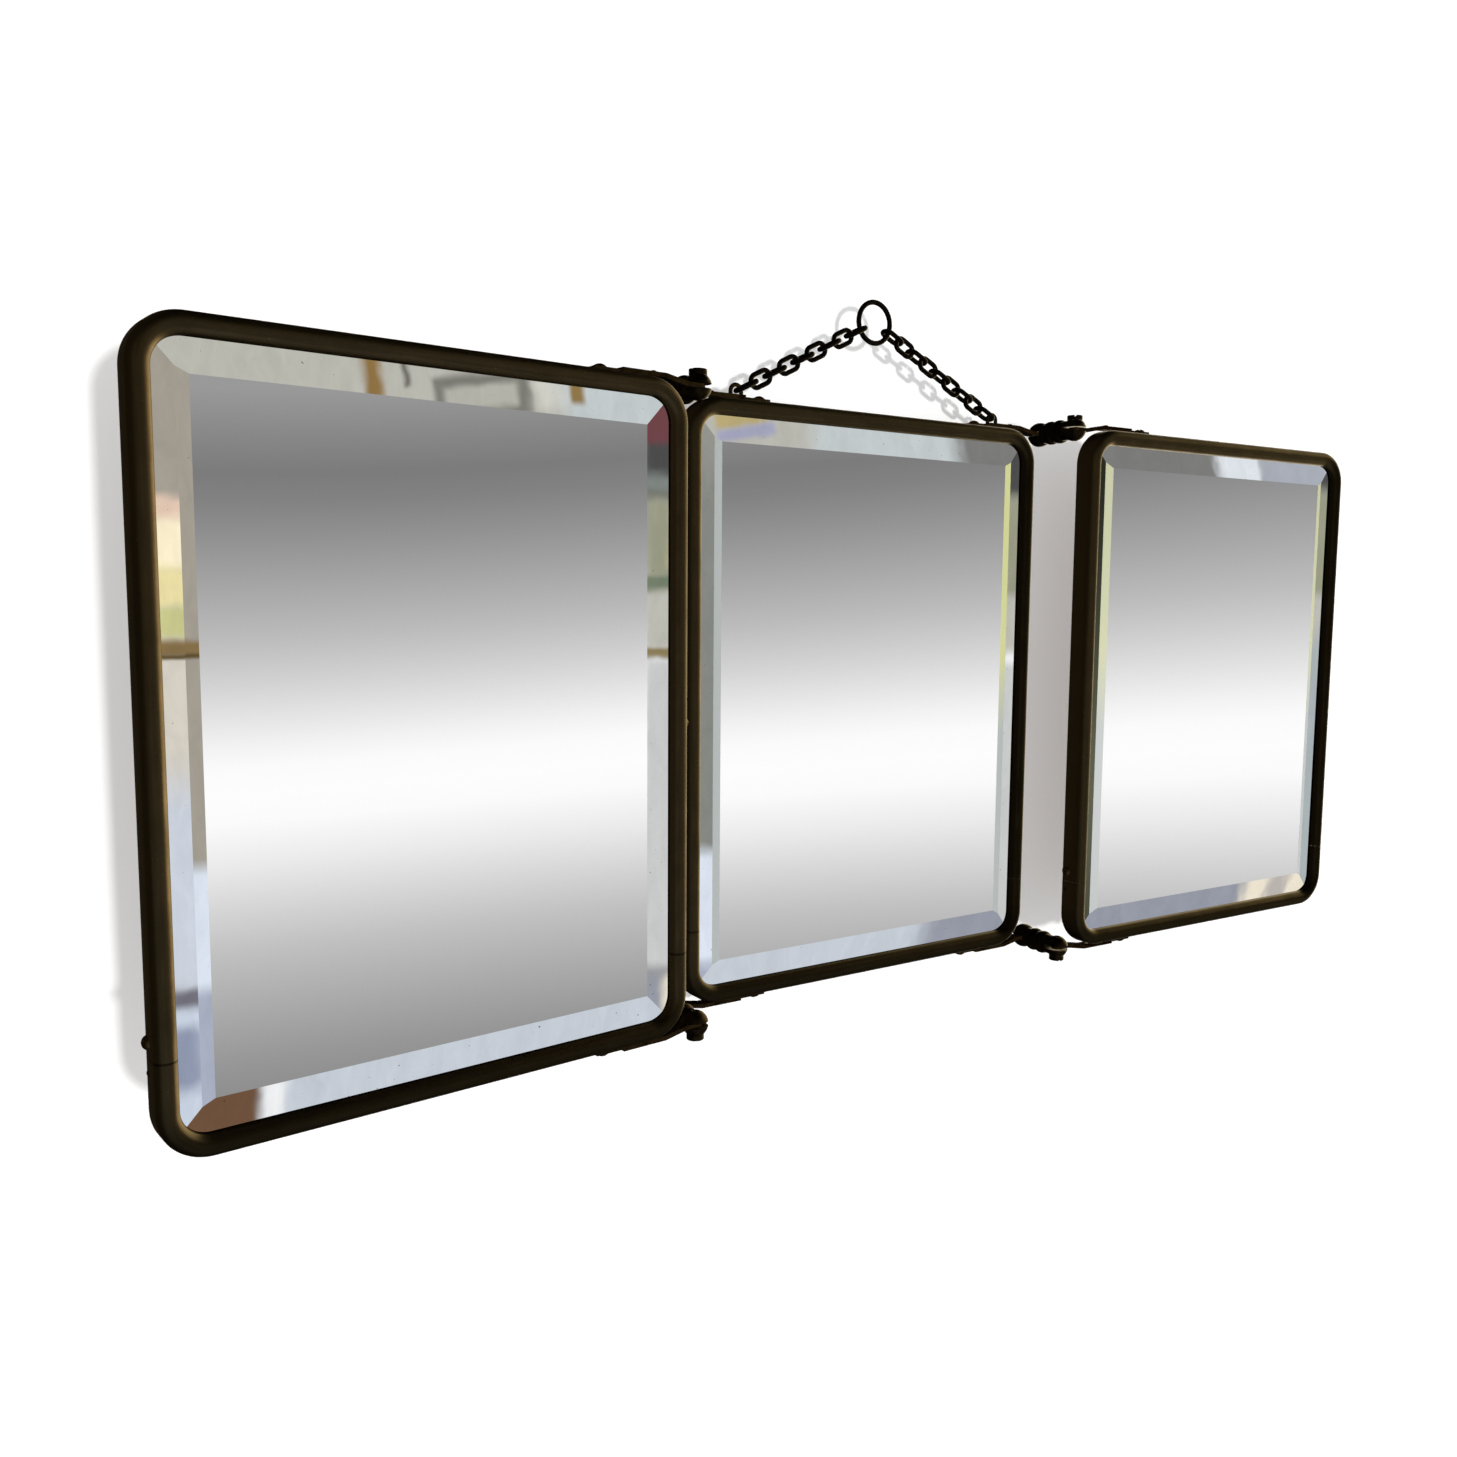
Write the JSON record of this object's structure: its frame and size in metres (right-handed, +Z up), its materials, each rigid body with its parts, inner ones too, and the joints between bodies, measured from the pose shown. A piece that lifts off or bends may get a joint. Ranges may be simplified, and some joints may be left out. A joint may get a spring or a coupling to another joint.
{
  "type": "folding wall mirror",
  "caption": "Folding mirror of brass-framed bevelled panels on double-pivot links, hung from a ring and chain.",
  "frame": {"origin": "middle of the centre panel's back face, on the wall plane", "axes": "+X to the right along the wall, +Y into the wall, +Z up"},
  "size_m": [0.7911, 0.0694, 0.3893],
  "materials": {
    "frame_brass": "dark brown patina, worn to brass on the edges",
    "strap_brass": "dark tarnish",
    "link_bronze": "near-black tarnish",
    "screw_brass": "tarnished, rubbed on top",
    "bright_brass": "aged",
    "plate_glass": "polished, bevelled",
    "silvering": "silvered",
    "backing_wood": "old stained board",
    "black_wire": "blackened wire"
  },
  "bodies": {
    "centre_panel": {"centre_frame_upper": "frame_brass", "centre_frame_lower": "frame_brass", "centre_tongues": "bright_brass", "centre_joint_screws": "screw_brass", "centre_glass": "plate_glass", "centre_silvering": "silvering", "centre_board": "backing_wood", "centre_strap_top_left": "strap_brass", "centre_strap_top_right": "strap_brass", "centre_strap_bottom_left": "strap_brass", "centre_strap_bottom_right": "strap_brass", "centre_strap_screws": "screw_brass", "chain_eyes": "strap_brass"},
    "left_link": {"left_link_top": "link_bronze", "left_link_bottom": "link_bronze", "left_inner_pins": "link_bronze", "left_outer_screws": "screw_brass"},
    "left_wing": {"left_frame_upper": "frame_brass", "left_frame_lower": "frame_brass", "left_tongues": "bright_brass", "left_joint_screws": "screw_brass", "left_glass": "plate_glass", "left_silvering": "silvering", "left_board": "backing_wood", "left_strap_top": "strap_brass", "left_strap_bottom": "strap_brass", "left_strap_screws": "screw_brass", "catch_stud": "bright_brass"},
    "right_link": {"right_link_top": "link_bronze", "right_link_bottom": "link_bronze", "right_inner_pins": "link_bronze", "right_outer_screws": "screw_brass"},
    "right_wing": {"right_frame_upper": "frame_brass", "right_frame_lower": "frame_brass", "right_tongues": "bright_brass", "right_joint_screws": "screw_brass", "right_glass": "plate_glass", "right_silvering": "silvering", "right_board": "backing_wood", "right_strap_top": "strap_brass", "right_strap_bottom": "strap_brass", "right_strap_screws": "screw_brass", "catch_pivot": "screw_brass"},
    "hook": {"catch_hook": "screw_brass"},
    "chain": {"chain_left": "black_wire", "chain_right": "black_wire"},
    "ring": {"hanging_ring": "black_wire"}
  },
  "joints": [
    {"name": "left_link_hinge", "type": "hinge", "parent": "centre_panel", "child": "left_link", "pos_m": [-0.1344, -0.0075, 0], "axis": [0, 0, -1], "range_deg": [-3, 89.7]},
    {"name": "left_wing_hinge", "type": "hinge", "parent": "left_link", "child": "left_wing", "pos_m": [-0.13456, -0.0375, 0], "axis": [0, 0, -1], "range_deg": [-168.5, 6]},
    {"name": "right_link_hinge", "type": "hinge", "parent": "centre_panel", "child": "right_link", "pos_m": [0.1344, -0.0075, 0], "axis": [0, 0, -1], "range_deg": [-95, 2]},
    {"name": "right_wing_hinge", "type": "hinge", "parent": "right_link", "child": "right_wing", "pos_m": [0.13179, -0.03739, 0], "axis": [0, 0, -1], "range_deg": [-6, 175]},
    {"name": "catch_swing", "type": "hinge", "parent": "right_wing", "child": "hook", "pos_m": [0.39111, -0.04419, 0.0126], "axis": [0.9994, -0.0349, 0], "range_deg": [-90, 90]},
    {"name": "chain_swing", "type": "hinge", "parent": "centre_panel", "child": "chain", "pos_m": [0, -0.0075, 0.16566], "axis": [1, 0, 0], "range_deg": [-2, 20]},
    {"name": "ring_tilt", "type": "hinge", "parent": "chain", "child": "ring", "pos_m": [0, -0.0075, 0.20508], "axis": [1, 0, 0], "range_deg": [-18, 20]}
  ]
}
